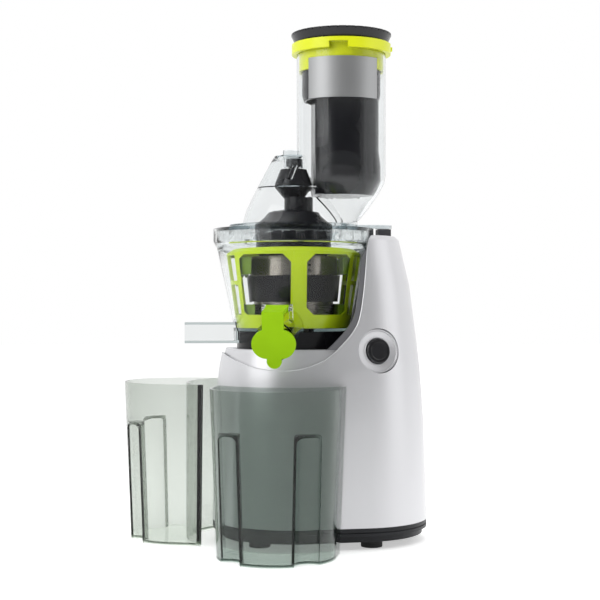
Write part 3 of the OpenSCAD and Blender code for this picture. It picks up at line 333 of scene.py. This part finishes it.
# The control board: green laminate with its parts soldered on, held on two pillars of the base
# plate. The switch behind the push button is a small block of black plastic.
board_green = moulded("board_green", (0.02, 0.14, 0.05), 0.35, grain=300, depth=0.0001)
coat_nodes(board_green, "control_board")
coat_nodes(hidden_plastic, "button_switch")

# The shell, the deck under the bowl and the dish round the button: one silver lacquer with
# fine metal flakes under a clear coat, over a moulded body. The shell's upper edge is rounded
# just enough to catch the light.
silver = Finish("silver_lacquer", metallic=0.55, coat_weight=0.3, coat_roughness=0.28)
flake_scale, drift_scale, flake_depth = 2600, 9, 0.000012
darker_silver, paler_silver = (0.64, 0.64, 0.66), (0.69, 0.69, 0.71)
flakes = silver.node("ShaderNodeTexVoronoi", sockets={"Vector": silver.place, "Scale": flake_scale})
drift = silver.noise(drift_scale, detail=3)
shine, flake_wear = 0.30, 0.08
silver.surface(base_color=silver.mixed(drift, darker_silver, paler_silver),
               roughness=shine + flakes * flake_wear)
silver.bumped(flakes, flake_depth)

button_shape = [corner.co for corner in frame["nodes"]["button_cap"].data.vertices]
button_middle = sum(button_shape, Vector()) / len(button_shape)
sharp_below, sharp_round_button = 0.12, 0.03


def on_upper_edge(place):
    return place.z > sharp_below and (place - button_middle).length > sharp_round_button


smooth_copy("body_shell", silver, crease=28, edge=0.0008, join=0.0006, rounded=on_upper_edge)
smooth_copy("deck", silver, crease=28)
smooth_copy("button_dish", silver)

# The tower's liner: a strip in one dark grey all over, which closes the tower where it stands open
# beside the bowl, and the black lock socket on top of the tower, into which the lid's lobe turns.
liner_dark_grey = moulded("liner_dark_grey", (0.14, 0.14, 0.15), 0.34, grain=1200, depth=0.00001, coat=0.2)
smooth_copy("tower_liner", liner_dark_grey, crease=28)
coat_nodes(hidden_plastic, "interlock_socket")

# The push button: a glossy black cap with a raised middle, moulded in one piece. It slides in
# its dish against the switch behind it.
button_black = moulded("button_black", (0.008, 0.008, 0.010), 0.22, grain=1500, depth=0.00001, coat=0.3)
smooth_copy("button_cap", button_black, edge=0.0002)

# The gland where the cord goes in, the collar that the bowl stands on, and its soft seals: the
# collar is hard glossy plastic, and the others are black rubber, pressed into place.
soft_black = moulded("soft_black", (0.02, 0.02, 0.021), 0.6, grain=800, depth=0.00005)
smooth_copy("cord_gland", soft_black)
collar_black = moulded("collar_black", (0.006, 0.006, 0.007), 0.24, grain=1400, depth=0.00001, gloss=0.2)
smooth_copy("coupling_collar", collar_black, edge=0.0004)
coat_nodes(soft_black, "shaft_seal", "hub_seal")

# The juicing bowl: one clear moulding with its floor, the round juice spout and the flat pulp
# spout. It locks down on the collar, and a black idler gear turns on a steel pin in its floor.
clear_tint, clear_edge = (0.985, 0.99, 0.99), 0.0006


def clear_moulding(name, tint, roughness, gloss, stain):
    """Thick clear plastic with faint scuffs: it bends what is seen through it, the stain grows
    with its thickness, and light passes straight through it to what lies in its shadow."""
    bending, stain_density = 1.34, 200
    scuff_scale, scuff_shade, scuff_wear = 22, 0.96, 0.05
    finish = Finish(name, transmission_weight=1.0, ior=bending, specular_tint=(gloss, gloss, gloss))
    scuffs = finish.noise(scuff_scale, detail=5)
    finish.surface(base_color=finish.mixed(scuffs, tint, shaded(tint, scuff_shade)),
                   roughness=roughness + scuffs ** 3 * scuff_wear)
    passing = finish.node("ShaderNodeBsdfTransparent", sockets={"Color": tint})
    soaked_up = finish.node("ShaderNodeVolumeAbsorption", sockets={"Color": stain, "Density": stain_density})
    finish.show(surface=finish.blended(finish.rays("Is Shadow Ray"), finish.shader, passing),
                volume=soaked_up)
    return finish


bowl_clear = clear_moulding("bowl_clear", clear_tint, 0.012, gloss=0.35, stain=(0.90, 0.915, 0.915))
smooth_copy("juice_bowl", bowl_clear, crease=30, edge=clear_edge)
coat_nodes(hidden_plastic, "idler_gear")
coat_nodes(bearing_steel, "idler_pin")

# The juice cap: soft lime silicone on a strap that hangs from a steel pin, with a milky seal
# pressed into it. It swings up off the spout.
lime = moulded("lime_silicone", (0.31, 0.57, 0.0), 0.5, grain=700, gloss=0.15)
smooth_copy("juice_cap", lime, edge=0.0006)
milky = moulded("milky_silicone", (0.7, 0.71, 0.66), 0.5, grain=600)
coat_nodes(milky, "cap_seal")
coat_nodes(bearing_steel, "cap_hinge_pin")

# The strainer: a steel basket between black plastic bands. Its lower part has rows of fine holes,
# which let the juice out, each row half a hole round from the next. The holes are painted on the
# steel as near black dots: painted shade for the dark inside seen through them.
# The second colour is the near black painted into the holes: painted shade for the dark inside seen through
# them.
sieve_color, painted_hole_shade = (0.32, 0.295, 0.26), (0.03, 0.03, 0.03)
hole_pitch, hole_reach, sieve_radius = 0.0013, 0.07, 0.04
sieve_steel = brushed("sieve_steel", sieve_color, 0.22)
smooth_copy("strainer_collar", sieve_steel)

pierced_steel = brushed("pierced_steel", sieve_color, 0.24)
aside, away, up = (
    pierced_steel.node("ShaderNodeSeparateXYZ", sockets={"Vector": pierced_steel.place}, output=axis)
    for axis in ("X", "Y", "Z"))
turn = pierced_steel.maths("ARCTAN2", away - bowl_y, aside - bowl_x)
rows = up * (1 / hole_pitch)
stagger = pierced_steel.maths("FRACT", pierced_steel.maths("FLOOR", rows) * 0.5)
beside = pierced_steel.maths("FRACT", turn * (sieve_radius / hole_pitch) + stagger) - 0.5
above = pierced_steel.maths("FRACT", rows) - 0.5
hole_shade_mask = pierced_steel.maths("LESS_THAN", beside ** 2 + above ** 2, hole_reach)
# Painted shade: the steel turns near black inside each hole.
pierced_steel.surface(base_color=pierced_steel.mixed(hole_shade_mask, sieve_color, painted_hole_shade))
smooth_copy("strainer_mesh", pierced_steel)

band_black = moulded("band_black", (0.008, 0.008, 0.010), 0.3, grain=1200, depth=0.00002, gloss=0.15)
smooth_copy("strainer_base", band_black)
smooth_copy("strainer_band", band_black)

# The brush cage: a stiff yellow-green frame that turns round the strainer, with dark green
# silicone wipers pushed into its posts.
cage_green = moulded("cage_green", (0.50, 0.66, 0.003), 0.4, depth=0.00002, gloss=0.3)
smooth_copy("brush_frame", cage_green, crease=30, edge=0.0004)
wiper_green = moulded("wiper_green", (0.12, 0.21, 0.004), 0.55, grain=600, depth=0.00005)
smooth_copy("wiper_blades", wiper_green, crease=30, edge=0.0004)

# The auger: the black screw that crushes the food, moulded round a steel hexagon that the
# output shaft turns. Its gear drives the idler in the bowl's floor.
auger_black = moulded("auger_black", (0.010, 0.010, 0.012), 0.25, grain=1200, depth=0.00002, gloss=0.3)
smooth_copy("auger", auger_black, crease=40)
coat_nodes(hidden_plastic, "auger_gear")
coat_nodes(bearing_steel, "auger_hex_insert")

# The lid: one clear moulding with the hood over the screw and the wide chute beside it. A black
# bushing in the hood holds the screw's tip. A yellow-green ring is pressed on the chute's top,
# and a bare brushed plate is fixed on its front.
lid_clear = clear_moulding("lid_clear", clear_tint, 0.012, gloss=0.5, stain=(0.90, 0.915, 0.92))
smooth_copy("lid", lid_clear, crease=30, edge=clear_edge)
coat_nodes(hidden_plastic, "top_bushing")
collar_yellow = moulded("collar_yellow", (0.74, 0.80, 0.01), 0.34, depth=0.00002)
smooth_copy("chute_collar", collar_yellow, edge=0.0003)
plate_silver = brushed("plate_silver", (0.42, 0.425, 0.43), 0.45, stretch=(2400, 2400, 40))
smooth_copy("label_plate", plate_silver, crease=40)

# The pusher: a hollow black plunger, moulded with a soft step in its side, and a flared cap
# with a finely ribbed rim that closes its top.
pusher_black = moulded("pusher_black", (0.010, 0.010, 0.012), 0.2, grain=1200, depth=0.00002, gloss=0.35)
smooth_copy("pusher_body", pusher_black)
smooth_copy("pusher_cap", pusher_black)

# The two cups: smoke-grey clear plastic, free standing, one for juice and one for pulp. Each is
# one moulding with a hollow back that fits round the juicer's foot.
smoke_tint, cup_edge = (0.97, 0.98, 0.97), 0.0008
juice_smoke = clear_moulding("juice_smoke", smoke_tint, 0.02, gloss=1.0, stain=(0.06, 0.18, 0.12))
smooth_copy("juice_cup", juice_smoke, edge=cup_edge)
pulp_smoke = clear_moulding("pulp_smoke", smoke_tint, 0.02, gloss=1.0, stain=(0.42, 0.47, 0.41))
smooth_copy("pulp_cup", pulp_smoke, edge=cup_edge)
